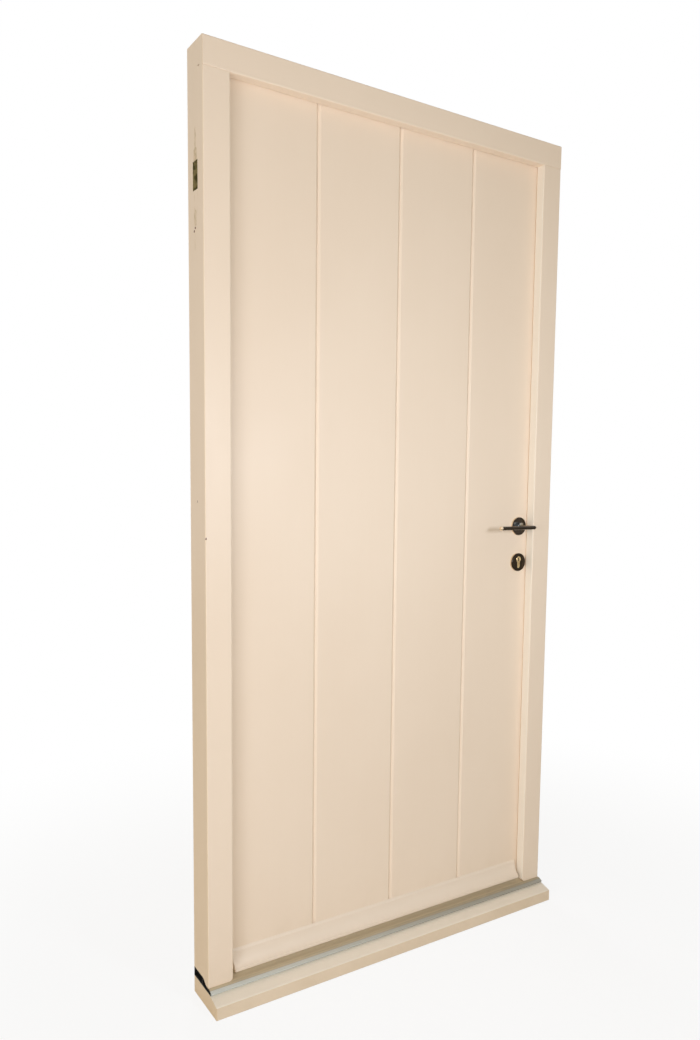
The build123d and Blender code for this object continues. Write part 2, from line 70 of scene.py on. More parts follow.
LOG = logging.getLogger("door")
MM = 0.001
MERGE_DISTANCE = 0.002 * MM
FLAT_ANGLE = math.radians(0.5)
SOFT_ANGLE = math.radians(25.0)
SMOOTH_ANGLE = math.radians(32.0)
QUARTER_TURN = math.pi / 2

Colour = tuple[float, float, float]
Point = tuple[float, float, float]
Waves = tuple[float, float, float]
Span = tuple[float, float]
Band = tuple[float, float, float]
Key = Union[str, int]
Settings = Mapping[str, object]
Sockets = Mapping[Key, object]
Edge = bmesh.types.BMEdge
Edges = list[Edge]
EdgeTest = Callable[[Edge], bool]
Material = bpy.types.Material

WHITE: Colour = (1.0, 1.0, 1.0)


class Body(Enum):
    """The bodies of the door, each of which moves as one."""

    FRAME = "frame"
    LEAF = "leaf"
    HANDLE = "handle"
    LATCH = "latch"
    KEY_BARREL = "key_barrel"
    BOLT = "bolt"


class Side(Enum):
    """The two faces of the leaf."""

    OUTER = "outer"
    INNER = "inner"


class HingeLevel(Enum):
    """The three hinges."""

    TOP = "top"
    MIDDLE = "middle"
    BOTTOM = "bottom"


def srgb(red: int, green: int, blue: int) -> Colour:
    """Turns a colour as it is seen on a screen into the linear values of a shader.

    Args:
        red: Red from 0 to 255.
        green: Green from 0 to 255.
        blue: Blue from 0 to 255.

    Returns:
        The three linear values.
    """

    def linear(level: int) -> float:
        """Linear value of one level."""
        share = level / 255
        return share / 12.92 if share <= 0.04045 else ((share + 0.055) / 1.055) ** 2.4

    return linear(red), linear(green), linear(blue)


class Signal:
    """An output of a node. Arithmetic on it adds Math nodes."""

    def __init__(self, nodes: Nodes, socket: bpy.types.NodeSocket) -> None:
        """Keeps the nodes that it belongs to and the socket."""
        self.nodes = nodes
        self.socket = socket

    def math(self, operation: str, *others: Operand) -> Signal:
        """Adds a Math node with this signal as its first value and gives its result."""
        values = dict(enumerate((self, *others)))
        return self.nodes.add("ShaderNodeMath", {"operation": operation}, values)

    def __add__(self, other: Operand) -> Signal:
        """This signal plus another."""
        return self.math("ADD", other)

    def __sub__(self, other: Operand) -> Signal:
        """This signal less another."""
        return self.math("SUBTRACT", other)

    def __rsub__(self, other: float) -> Signal:
        """A number less this signal."""
        return self.math("MULTIPLY_ADD", -1.0, other)

    def __mul__(self, other: Operand) -> Signal:
        """This signal times another."""
        return self.math("MULTIPLY", other)

    __radd__ = __add__
    __rmul__ = __mul__

    def __abs__(self) -> Signal:
        """The signal without its sign."""
        return self.math("ABSOLUTE")

    def rise(self, start: float, end: float) -> Signal:
        """Goes smoothly from 0 at a start to 1 at an end."""
        sockets = {"Value": self, "From Min": start, "From Max": end}
        return self.nodes.add("ShaderNodeMapRange", {"interpolation_type": "SMOOTHSTEP"}, sockets)

    def within(self, low: float, high: float, soft: float) -> Signal:
        """Is 1 between two values and fades out beside them over a soft width."""
        half = (high - low) / 2
        return 1 - abs(self - (low + half)).rise(half, half + soft)


Operand = Union[Signal, float]


class Place(NamedTuple):
    """Where a point of the surface lies in the door's own frame."""

    across: Signal
    deep: Signal
    up: Signal


@dataclass(frozen=True)
class Pattern:
    """A noise over the surface: waves per metre along X, Y and Z, finer layers, shift and contrast."""

    waves: Waves
    detail: float = 3.0
    offset: float = 0.0
    span: Span | None = None


class Nodes:
    """The nodes of a material or of the world."""

    def __init__(self, tree: bpy.types.NodeTree) -> None:
        """Empties a node tree and keeps it."""
        self.tree = tree
        self.tree.nodes.clear()

    def node(
        self, kind: str, settings: Settings | None = None, sockets: Sockets | None = None
    ) -> bpy.types.Node:
        """Adds any node.

        Args:
            kind: The node's type.
            settings: Its properties, set first.
            sockets: Values or signals for its inputs, by name or number.

        Returns:
            The node.
        """
        node = self.tree.nodes.new(kind)
        for key, value in (settings or {}).items():
            setattr(node, key, value)
        for key, value in (sockets or {}).items():
            socket = self.open_socket(node.inputs, key)
            if isinstance(value, Signal):
                self.tree.links.new(value.socket, socket)
            elif socket.type == "RGBA":
                socket.default_value = (*value, 1.0)
            else:
                socket.default_value = value
        return node

    @staticmethod
    def open_socket(sockets: Iterable[bpy.types.NodeSocket], key: Key) -> bpy.types.NodeSocket:
        """Finds a socket by name or number among those that a node's settings leave open."""
        shown = [socket for socket in sockets if socket.enabled]
        return shown[key if isinstance(key, int) else [s.name for s in shown].index(key)]

    def add(
        self,
        kind: str,
        settings: Settings | None = None,
        sockets: Sockets | None = None,
        output: Key = 0,
    ) -> Signal:
        """Adds a node and gives one of its outputs, found by name or number."""
        node = self.node(kind, settings, sockets)
        return Signal(self, self.open_socket(node.outputs, output))


class Shader(Nodes):
    """A material's nodes, with short ways to the ones that most finishes use."""

    noise_roughness: ClassVar[float] = 0.55

    def __init__(self, name: str) -> None:
        """Starts an empty material with the given name."""
        self.material = bpy.data.materials.new(name)
        self.material.use_nodes = True
        super().__init__(self.material.node_tree)

    def coordinates(self) -> Signal:
        """The door's own coordinates as a vector."""
        return self.add("ShaderNodeTexCoord", output="Object")

    def place(self) -> Place:
        """The door's own coordinates, each as a signal."""
        node = self.node("ShaderNodeSeparateXYZ", sockets={0: self.coordinates()})
        return Place(*(Signal(self, socket) for socket in node.outputs))

    def noise(self, pattern: Pattern) -> Signal:
        """Soft noise over the surface.

        Args:
            pattern: Its waves, layers, shift and contrast.

        Returns:
            The noise, from 0 to 1.
        """
        moved = {
            "Vector": self.coordinates(),
            "Location": (pattern.offset,) * 3,
            "Scale": pattern.waves,
        }
        sockets = {
            "Vector": self.add("ShaderNodeMapping", sockets=moved),
            "Scale": 1.0,
            "Detail": pattern.detail,
            "Roughness": self.noise_roughness,
        }
        noise = self.add("ShaderNodeTexNoise", {"noise_dimensions": "3D"}, sockets)
        return noise.rise(*pattern.span) if pattern.span else noise

    def mix(self, share: Operand, first: object, second: object) -> Signal:
        """Blends two colours by the share of the second."""
        return self.add("ShaderNodeMix", {"data_type": "RGBA"}, {0: share, 1: first, 2: second})

    def bump(self, height: Signal, depth: float, under: Signal | None = None) -> Signal:
        """Turns a height into a bumped normal.

        Args:
            height: Height from 0 to 1.
            depth: Real height of 1, in metres.
            under: A normal that is bumped already.

        Returns:
            The normal.
        """
        sockets: dict[Key, object] = {"Height": height, "Distance": depth, "Strength": 1.0}
        if under is not None:
            sockets["Normal"] = under
        return self.add("ShaderNodeBump", sockets=sockets)

    def close(
        self, colour: Signal, roughness: Signal, normal: Signal, constants: Sockets
    ) -> Material:
        """Ends the nodes in a Principled shader, some of its inputs being the same all over."""
        varying = {"Base Color": colour, "Roughness": roughness, "Normal": normal}
        return self.show(self.add("ShaderNodeBsdfPrincipled", sockets={**varying, **constants}))

    def show(self, surface: Signal) -> Material:
        """Links a surface to the material's output and gives the material."""
        self.node("ShaderNodeOutputMaterial", sockets={"Surface": surface})
        return self.material


class Grain(Enum):
    """Which way a timber's fibres run, as noise waves per metre along X, Y and Z."""

    UPRIGHT = (110.0, 110.0, 3.0)
    LEVEL = (3.0, 110.0, 110.0)

    def fibres(self, detail: float) -> Pattern:
        """The fibres as a noise with so many finer layers."""
        return Pattern(self.value, detail, offset=3.0)


@dataclass(frozen=True)
class CreamPaint:
    """Sprayed cream paint on planed timber, a little soiled towards the ground, with painted shade on
    the frame's outer sides.
    """

    name: str
    slot: str
    grain: Grain
    pale: Colour = srgb(246, 228, 208)
    deep: Colour = srgb(242, 223, 202)
    mottle: Pattern = Pattern((2.1, 2.1, 1.3), 4.0, span=(0.30, 0.72))
    mottle_share: float = 0.75
    mottle_fibres: float = 4.0
    soiled: Colour = srgb(214, 193, 162)
    soil: Pattern = Pattern((14.0, 14.0, 9.0), 5.0, 8.0, (0.36, 0.72))
    soil_top: float = 0.22
    soil_share: float = 0.22
    # Painted shade on the frame's outer sides: where it lies, its tint, its strength and how it grows
    # towards the foot.
    side_shade: Span = (0.4980, 0.4995)
    side_shade_tint: Colour = srgb(232, 204, 163)
    side_shade_share: float = 0.33
    side_shade_foot: float = 1.8
    side_shade_fade_top: float = 1.2
    roughness: float = 0.38
    gloss: Pattern = Pattern((9.0, 9.0, 5.0), 3.0, 1.0)
    gloss_share: float = 0.12
    specular: float = 0.4
    grain_fibres: float = 5.0
    grain_depth: float = 0.012 * MM
    peel: Pattern = Pattern((620.0,) * 3, 1.0, 5.0)
    peel_depth: float = 0.012 * MM
    bare_roughness: float = 0.4
    bare_depth: float = 0.25 * MM

    def colour(self, shader: Shader) -> Signal:
        """Colour of the paint film, with painted shade on the frame's outer sides: warmer and darker
        there, most towards the foot.

        Args:
            shader: The material in the making.

        Returns:
            The colour signal.
        """
        place = shader.place()
        fibres = shader.noise(self.grain.fibres(self.mottle_fibres))
        cloudy = shader.noise(self.mottle) * self.mottle_share + fibres * (1 - self.mottle_share)
        film = shader.mix(cloudy, self.pale, self.deep)
        low = 1 - place.up.rise(0.0, self.soil_top)
        film = shader.mix(low * shader.noise(self.soil) * self.soil_share, film, self.soiled)
        # Painted shade: the frame's outer sides get a warmer, darker tint, strongest near the foot.
        side_shade = abs(place.across).rise(*self.side_shade)
        side_shade = side_shade * (self.side_shade_foot - place.up.rise(0.0, self.side_shade_fade_top))
        return shader.mix(side_shade * self.side_shade_share, film, self.side_shade_tint)

    def material(self) -> Material:
        """Makes the paint's material."""
        shader = Shader(self.name)
        return self.coat(shader, self.colour(shader), None)

    def coat(self, shader: Shader, colour: Signal, bare: Signal | None) -> Material:
        """Gives the film its gloss and its faint texture.

        Args:
            shader: The material in the making.
            colour: Colour of the surface.
            bare: Mask of the timber that shows through, or None.

        Returns:
            The finished material.
        """
        normal = shader.bump(shader.noise(self.grain.fibres(self.grain_fibres)), self.grain_depth)
        normal = shader.bump(shader.noise(self.peel), self.peel_depth, normal)
        roughness = shader.noise(self.gloss) * self.gloss_share + self.roughness
        if bare is not None:
            roughness = roughness + bare * self.bare_roughness
            normal = shader.bump(1 - bare, self.bare_depth, normal)
        return shader.close(colour, roughness, normal, {"Specular IOR Level": self.specular})


@dataclass(frozen=True)
class SillPaint(CreamPaint):
    """Cream paint on the sill, with painted light on its sloping top, which is paler."""

    # Painted light on the sloping top: its colour, and where the slope begins.
    painted_top_light: Colour = srgb(246, 237, 223)
    slope: float = 0.25
    level: float = 43.5 * MM
    edge: Span = (-1.5 * MM, -0.7 * MM)

    def colour(self, shader: Shader) -> Signal:
        """Colour of the paint film, with painted light making the slope paler.

        Args:
            shader: The material in the making.

        Returns:
            The colour signal.
        """
        place = shader.place()
        # Painted light: paler colour on the sloping top.
        height = place.up - place.deep * self.slope - self.level
        return shader.mix(height.rise(*self.edge), super().colour(shader), self.painted_top_light)


@dataclass(frozen=True)
class JambPaint(CreamPaint):
    """Cream paint on a jamb, with painted light making the face beside the leaf paler."""

    painted_reveal_light: Colour = srgb(247, 238, 224)
    reveal: Span = (0.4402, 0.4410)

    def colour(self, shader: Shader) -> Signal:
        """Colour of the paint film, with painted light on the face beside the leaf."""
        # Painted light: the reveal beside the leaf is made paler.
        inner = 1 - abs(shader.place().across).rise(*self.reveal)
        return shader.mix(inner, super().colour(shader), self.painted_reveal_light)


@dataclass(frozen=True)
class Mark:
    """A scrape or a nick on the outer side of the hinge jamb."""

    low: float
    high: float
    middle: float
    width: float
    share: float


@dataclass(frozen=True)
class ScrapedPaint(JambPaint):
    """Cream paint of the hinge jamb: scraped down to the timber, with a bare chiselled pocket whose
    dark colour is partly painted shade.
    """

    timber: Colour = srgb(206, 184, 146)
    # Dark olive timber in the pocket: partly the bare timber's own colour, partly painted shade of the
    # recess.
    dark_timber_and_shade: Colour = srgb(92, 86, 46)
    pocket_timber: Colour = srgb(160, 146, 98)
    nick: Colour = srgb(104, 56, 42)
    scrapes: tuple[Mark, ...] = (
        Mark(1.864, 1.884, 0.0450, 0.0100, 0.85),
        Mark(1.876, 1.926, 0.0440, 0.0040, 0.70),
        Mark(1.752, 1.798, 0.0500, 0.0012, 0.60),
        Mark(1.752, 1.798, 0.0310, 0.0012, 0.50),
        Mark(1.732, 1.760, 0.0450, 0.0075, 0.70),
        Mark(1.684, 1.712, 0.0480, 0.0012, 0.65),
    )
    nicks: tuple[Mark, ...] = (
        Mark(1.7245, 1.7275, 0.0460, 0.0034, 1.0),
        Mark(1.7185, 1.7220, 0.0520, 0.0034, 1.0),
        Mark(1.147, 1.151, 0.0450, 0.0012, 0.8),
        Mark(1.069, 1.073, 0.0010, 0.0014, 0.8),
    )
    outer_side: Span = (-0.4975, -0.4955)
    mark_fade: float = 0.35
    ragged: Pattern = Pattern((420.0, 420.0, 60.0), 5.0, 2.0)
    ragged_middle: float = 0.5
    raggedness: float = 1.6
    mark_edge: Span = (0.45, 0.75)
    mark_limit: Span = (0.05, 0.4)
    broken: Pattern = Pattern((160.0, 160.0, 90.0), 3.0, 9.0, (0.38, 0.62))
    broken_share: float = 0.5
    scrape_least: float = 0.2
    streaks: Pattern = Pattern((160.0, 160.0, 22.0), 6.0, 6.0, (0.35, 0.65))
    streak_share: float = 0.5
    chips: Pattern = Pattern((95.0, 95.0, 60.0), 5.0, 7.0, (0.44, 0.60))
    pocket_low: Point = (-0.4997, 0.0318, 1.8033)
    pocket_high: Point = (-0.4790, 0.0592, 1.8627)
    pocket_fade: float = 0.1 * MM

    def marks(self, shader: Shader, marks: Iterable[Mark], ragged: Signal) -> Signal:
        """Mask of some marks on the jamb's outer side.

        Args:
            shader: The material in the making.
            marks: The marks.
            ragged: Noise that breaks up their edges.

        Returns:
            The mask, 1 where a mark is.
        """
        place = shader.place()
        total: Operand = 0.0
        for mark in marks:
            half = mark.width / 2
            length = place.up.within(mark.low, mark.high, self.mark_fade * (mark.high - mark.low))
            breadth = place.deep.within(mark.middle - half, mark.middle + half, mark.width)
            total = length * breadth * mark.share + total
        spread = total * (1 - place.across.rise(*self.outer_side))
        torn = spread + (ragged - self.ragged_middle) * self.raggedness
        return torn.rise(*self.mark_edge) * spread.rise(*self.mark_limit)

    def pocket(self, shader: Shader) -> Signal:
        """Mask of the chiselled pocket."""
        across, deep, up = (
            axis.within(low, high, self.pocket_fade)
            for axis, low, high in zip(shader.place(), self.pocket_low, self.pocket_high)
        )
        return across * deep * up

    def material(self) -> Material:
        """Makes the paint with its scrapes, nicks and bare pocket.

        Returns:
            The material.
        """
        shader = Shader(self.name)
        ragged = shader.noise(self.ragged)
        scraped = self.marks(shader, self.scrapes, ragged)
        nicked = self.marks(shader, self.nicks, ragged)
        pocket = self.pocket(shader)
        streaks = shader.noise(self.streaks) * self.streak_share
        timber = shader.mix(streaks, self.timber, self.pocket_timber)
        # The pocket's inside: bare timber darkened partly by painted shade.
        inside = shader.mix(shader.noise(self.chips), self.dark_timber_and_shade, self.pocket_timber)
        cover = shader.noise(self.broken) * self.broken_share + self.scrape_least
        colour = shader.mix(scraped * cover, self.colour(shader), timber)
        colour = shader.mix(nicked, colour, self.nick)
        colour = shader.mix(pocket, colour, inside)
        return self.coat(shader, colour, (scraped + nicked + pocket).math("MINIMUM", 1.0))


@dataclass(frozen=True)
class MillAluminium:
    """Drawn aluminium threshold: tan ramp of dust and painted reflection of the paint above, painted
    light under the leaf, clean nose, darker towards the right end, painted shade on the cut ends and
    in the hollow.
    """

    name: str = "drawn_aluminium"
    slot: str = "threshold_aluminium"
    # Tan of the ramp: partly dust, partly painted reflection of the cream paint above it.
    dust_and_reflection: Colour = srgb(208, 195, 168)
    dust_and_reflection_deep: Colour = srgb(166, 154, 130)
    clean: Colour = srgb(206, 210, 206)
    clean_deep: Colour = srgb(164, 162, 152)
    # Painted shade, nearly black, on the cut ends and in the hollow.
    hollow_shade: Colour = srgb(30, 28, 26)
    # Painted light under the weatherboard's lip, where it shades the ramp: its colour, its band and
    # its strength.
    under_lip_light: Colour = srgb(238, 222, 190)
    under_lip_light_band: Band = (0.002, 0.034, 0.004)
    under_lip_light_share: float = 0.5
    draw: Pattern = Pattern((1.2, 900.0, 900.0))
    stain: Pattern = Pattern((9.0, 40.0, 40.0), 5.0, 4.0, (0.35, 0.7))
    draw_share: float = 0.2
    stain_share: float = 0.3
    # Darker towards the right end, on the ramp and on the nose.
    along: Span = (-0.5, 0.35)
    along_share: float = 0.5
    nose: Span = (-0.0095, -0.0085)
    shelf: float = 0.0505
    ramp: Span = (0.008, 0.036)
    rise: float = 0.0105
    thickness: Span = (1.0 * MM, 1.6 * MM)
    back: Span = (0.0866, 0.0870)
    end: Span = (0.4994, 0.4996)
    metallic: float = 0.25
    roughness: float = 0.40
    draw_roughness: float = 0.14
    stain_roughness: float = 0.1
    draw_depth: float = 0.012 * MM

    def hollow(self, place: Place) -> Signal:
        """Mask of the painted shade: the cut ends and the hollow under the skin.

        Args:
            place: Where a point lies.

        Returns:
            The mask.
        """
        ends = abs(place.across).rise(*self.end)
        skin = place.deep.rise(*self.ramp) * self.rise + self.shelf
        below = (skin - place.up).rise(*self.thickness) * place.deep.rise(*self.nose)
        return ends.math("MAXIMUM", below * (1 - place.deep.rise(*self.back)))

    def material(self) -> Material:
        """Makes the material.

        Returns:
            The material.
        """
        shader = Shader(self.name)
        place = shader.place()
        draw = shader.noise(self.draw)
        stain = shader.noise(self.stain)
        along = place.across.rise(*self.along)
        # Stain, lay and a darkening towards the right end.
        worn = stain * self.stain_share + draw * self.draw_share + along * self.along_share
        # Ramp colour: dust mixed with painted reflection of the cream paint.
        ramp = shader.mix(worn, self.dust_and_reflection, self.dust_and_reflection_deep)
        # Painted light: the ramp is made paler where the weatherboard shades it.
        under_lip_light = place.deep.within(*self.under_lip_light_band) * self.under_lip_light_share
        ramp = shader.mix(under_lip_light, ramp, self.under_lip_light)
        nose = shader.mix(along, self.clean, self.clean_deep)
        colour = shader.mix(place.deep.rise(*self.nose), nose, ramp)
        # Painted shade: nearly black on the cut ends and in the hollow.
        colour = shader.mix(self.hollow(place), colour, self.hollow_shade)
        rough = draw * self.draw_roughness + stain * self.stain_roughness + self.roughness
        normal = shader.bump(draw, self.draw_depth)
        return shader.close(colour, rough, normal, {"Metallic": self.metallic})


@dataclass(frozen=True)
class SealRubber:
    """Matt cream sealing strip."""

    name: str = "seal_strip"
    slot: str = "seal_rubber"
    pale: Colour = srgb(240, 218, 190)
    deep: Colour = srgb(226, 202, 172)
    dust: Pattern = Pattern((55.0,) * 3, 4.0)
    skin: Pattern = Pattern((1400.0,) * 3, 1.0, 2.0)
    skin_depth: float = 0.02 * MM
    roughness: float = 0.62
    dust_roughness: float = 0.2

    def material(self) -> Material:
        """Makes the material.

        Returns:
            The material.
        """
        shader = Shader(self.name)
        dust = shader.noise(self.dust)
        colour = shader.mix(dust, self.pale, self.deep)
        rough = dust * self.dust_roughness + self.roughness
        return shader.close(colour, rough, shader.bump(shader.noise(self.skin), self.skin_depth), {})


@dataclass(frozen=True)
class Metal:
    """Ground or polished metal with a fine lay and cloudy tarnish."""

    name: str
    slot: str
    bright: Colour
    tarnished: Colour
    lay: Pattern
    roughness: float
    scatter: float = 0.12
    cloud: Pattern = Pattern((46.0,) * 3, 5.0, 4.0, (0.38, 0.70))
    cloud_share: float = 0.7
    lay_depth: float = 0.008 * MM

    def colour(self, shader: Shader, lay: Signal, cloud: Signal) -> Signal:
        """Colour of the metal, from the noise of its lay and that of its tarnish."""
        tarnish = cloud * self.cloud_share + lay * (1 - self.cloud_share)
        return shader.mix(tarnish, self.bright, self.tarnished)

    def material(self) -> Material:
        """Makes the material.

        Returns:
            The material.
        """
        shader = Shader(self.name)
        lay = shader.noise(self.lay)
        cloud = shader.noise(self.cloud)
        colour = self.colour(shader, lay, cloud)
        rough = lay * self.scatter + cloud * self.scatter + self.roughness
        return shader.close(colour, rough, shader.bump(lay, self.lay_depth), {"Metallic": 1.0})


@dataclass(frozen=True)
class PlugBrass(Metal):
    """Brass of the plugs, with painted shade, nearly black, behind their faces in the keyway."""

    # Painted shade inside the keyway.
    keyway_shade: Colour = srgb(24, 20, 16)
    leaf_middle: float = 0.059
    face: Span = (0.0350, 0.0356)

    def colour(self, shader: Shader, lay: Signal, cloud: Signal) -> Signal:
        """Colour of the metal, with painted shade inside the keyway."""
        # Painted shade: everything behind the plug's face is nearly black.
        inside = 1 - abs(shader.place().deep - self.leaf_middle).rise(*self.face)
        return shader.mix(inside, super().colour(shader, lay, cloud), self.keyway_shade)


@dataclass(frozen=True)
class DarkBronze:
    """Dark polished bronze, with painted reflections: cream on the discs' rims, the lever's end and
    neck, grey on the rose beside the hub.
    """

    name: str = "dark_bronze"
    slot: str = "dark_bronze"
    dark: Colour = srgb(64, 53, 40)
    deep: Colour = srgb(46, 38, 30)
    # Colours of the painted reflections: cream of the paint around, grey of the sky.
    bright: Colour = srgb(232, 214, 186)
    grey_reflection: Colour = srgb(142, 148, 150)
    cloud: Pattern = Pattern((60.0,) * 3, 5.0, 4.0, (0.35, 0.70))
    fine: Pattern = Pattern((700.0,) * 3, 2.0, 1.0)
    fine_depth: float = 0.004 * MM
    leaf_middle: float = 0.059
    axis: Span = (0.410, 1.077)
    rim: Span = (0.0333, 0.0342)
    lever_end: Span = (0.2983, 0.2992)
    neck_side: Band = (0.0, 5.2 * MM, 0.4 * MM)
    neck_level: Span = (1.6 * MM, 3.4 * MM)
    neck_reach: Band = (0.0445, 0.0860, 1.0 * MM)
    neck_share: float = 0.7
    patch_side: Band = (-17.0 * MM, -3.0 * MM, 4.0 * MM)
    patch_level: Band = (2.0 * MM, 9.0 * MM, 3.0 * MM)
    patch_reach: Band = (0.0340, 0.0440, 0.3 * MM)
    patch_least: float = 0.5
    patch_cloud: float = 0.4
    metallic: float = 0.95
    coat: float = 0.2
    roughness: float = 0.16
    fine_roughness: float = 0.06
    cloud_roughness: float = 0.08

    def painted_reflections(self, shader: Shader) -> tuple[Signal, Signal]:
        """Where the painted cream and grey reflections lie.

        Args:
            shader: The material in the making.

        Returns:
            The two masks.
        """
        place = shader.place()
        away = abs(place.deep - self.leaf_middle)
        side = place.across - self.axis[0]
        level = place.up - self.axis[1]
        # Painted reflections: cream on the rims, the lever's end and the neck's top; grey in a patch
        # on the rose beside the hub.
        rim = 1 - away.rise(*self.rim)
        end = 1 - place.across.rise(*self.lever_end)
        neck = abs(side).within(*self.neck_side) * level.rise(*self.neck_level)
        neck = neck * away.within(*self.neck_reach) * self.neck_share
        patch = side.within(*self.patch_side) * level.within(*self.patch_level)
        return (rim + end + neck).math("MINIMUM", 1.0), patch * away.within(*self.patch_reach)

    def material(self) -> Material:
        """Makes the material.

        Returns:
            The material.
        """
        shader = Shader(self.name)
        cloud = shader.noise(self.cloud)
        fine = shader.noise(self.fine)
        bright, grey_reflection = self.painted_reflections(shader)
        colour = shader.mix(cloud, self.dark, self.deep)
        # Painted grey reflection, then painted cream reflection.
        colour = shader.mix(grey_reflection * (cloud * self.patch_cloud + self.patch_least), colour, self.grey_reflection)
        colour = shader.mix(bright, colour, self.bright)
        rough = fine * self.fine_roughness + cloud * self.cloud_roughness + self.roughness
        constants = {"Metallic": self.metallic, "Coat Weight": self.coat}
        return shader.close(colour, rough, shader.bump(fine, self.fine_depth), constants)


Finish = Union[CreamPaint, MillAluminium, SealRubber, Metal, DarkBronze]

UPRIGHT_LAY = Pattern((900.0, 900.0, 12.0))
EVEN_LAY = Pattern((700.0,) * 3)
SMALL_CLOUD = Pattern((150.0,) * 3, 5.0, 4.0, (0.38, 0.70))

FRAME_UPRIGHT = JambPaint("frame_paint_upright", "frame_paint", Grain.UPRIGHT)
FRAME_LEVEL = CreamPaint("frame_paint_level", "frame_paint", Grain.LEVEL)
FRAME_SCRAPED = ScrapedPaint("frame_paint_scraped", "frame_paint", Grain.UPRIGHT)
# The sill's paint is set darker and yellower than the rest: painted shade that offsets the floor's
# bright bounce on the sill front.
SILL_PAINT = SillPaint(
    "frame_paint_sill",
    "frame_paint",
    Grain.LEVEL,
    pale=srgb(238, 220, 196),
    deep=srgb(232, 213, 188),
    soil_share=0.24,
)
LEAF_UPRIGHT = CreamPaint("leaf_paint_upright", "leaf_paint", Grain.UPRIGHT)
LEAF_LEVEL = CreamPaint("leaf_paint_level", "leaf_paint", Grain.LEVEL)
# The weatherboard's paint is nearly free of soil and so reads lighter than the boards: partly clean
# paint, partly painted light for its face that tilts up to the lamps.
WEATHERBOARD_PAINT = CreamPaint(
    "leaf_paint_weatherboard",
    "leaf_paint",
    Grain.LEVEL,
    pale=srgb(243, 228, 211),
    deep=srgb(240, 224, 206),
    soil_share=0.03,
)
ALUMINIUM = MillAluminium()
RUBBER = SealRubber()
HINGE_STEEL = Metal(
    "satin_hinge_steel",
    "hinge_steel",
    bright=srgb(196, 195, 190),
    tarnished=srgb(158, 155, 146),
    lay=UPRIGHT_LAY,
    roughness=0.26,
)
LOCK_STEEL = Metal(
    "satin_lock_steel",
    "lock_steel",
    bright=srgb(188, 187, 182),
    tarnished=srgb(150, 147, 138),
    lay=UPRIGHT_LAY,
    roughness=0.28,
)
BRASS = Metal(
    "worn_brass",
    "cylinder_brass",
    bright=srgb(250, 228, 176),
    tarnished=srgb(164, 124, 74),
    lay=EVEN_LAY,
    roughness=0.18,
    cloud=SMALL_CLOUD,
)
PLUG_BRASS = PlugBrass(
    "worn_plug_brass",
    "cylinder_brass",
    bright=srgb(252, 232, 184),
    tarnished=srgb(190, 150, 96),
    lay=EVEN_LAY,
    roughness=0.16,
    cloud=SMALL_CLOUD,
)
BRONZE = DarkBronze()


class Wardrobe:
    """Keeps one material for each finish."""

    _made: ClassVar[dict[str, Material]] = {}

    @classmethod
    def of(cls, finish: Finish) -> Material:
        """Finds the material of a finish, and makes it the first time that it is asked for.

        Args:
            finish: The finish.

        Returns:
            Its material.
        """
        if finish.name not in cls._made:
            cls._made[finish.name] = finish.material()
        return cls._made[finish.name]


def weigh_normals(thing: bpy.types.Object) -> None:
    """Turns the normals along rounded edges towards the larger faces beside them.

    Args:
        thing: A piece with its sharp edges marked.
    """
    weigh = thing.modifiers.new("weigh_normals", "WEIGHTED_NORMAL")
    weigh.keep_sharp = True
    graph = bpy.context.evaluated_depsgraph_get()
    plain = thing.data
    thing.data = bpy.data.meshes.new_from_object(thing.evaluated_get(graph))
    thing.modifiers.clear()
    bpy.data.meshes.remove(plain)
    thing.data.name = thing.name


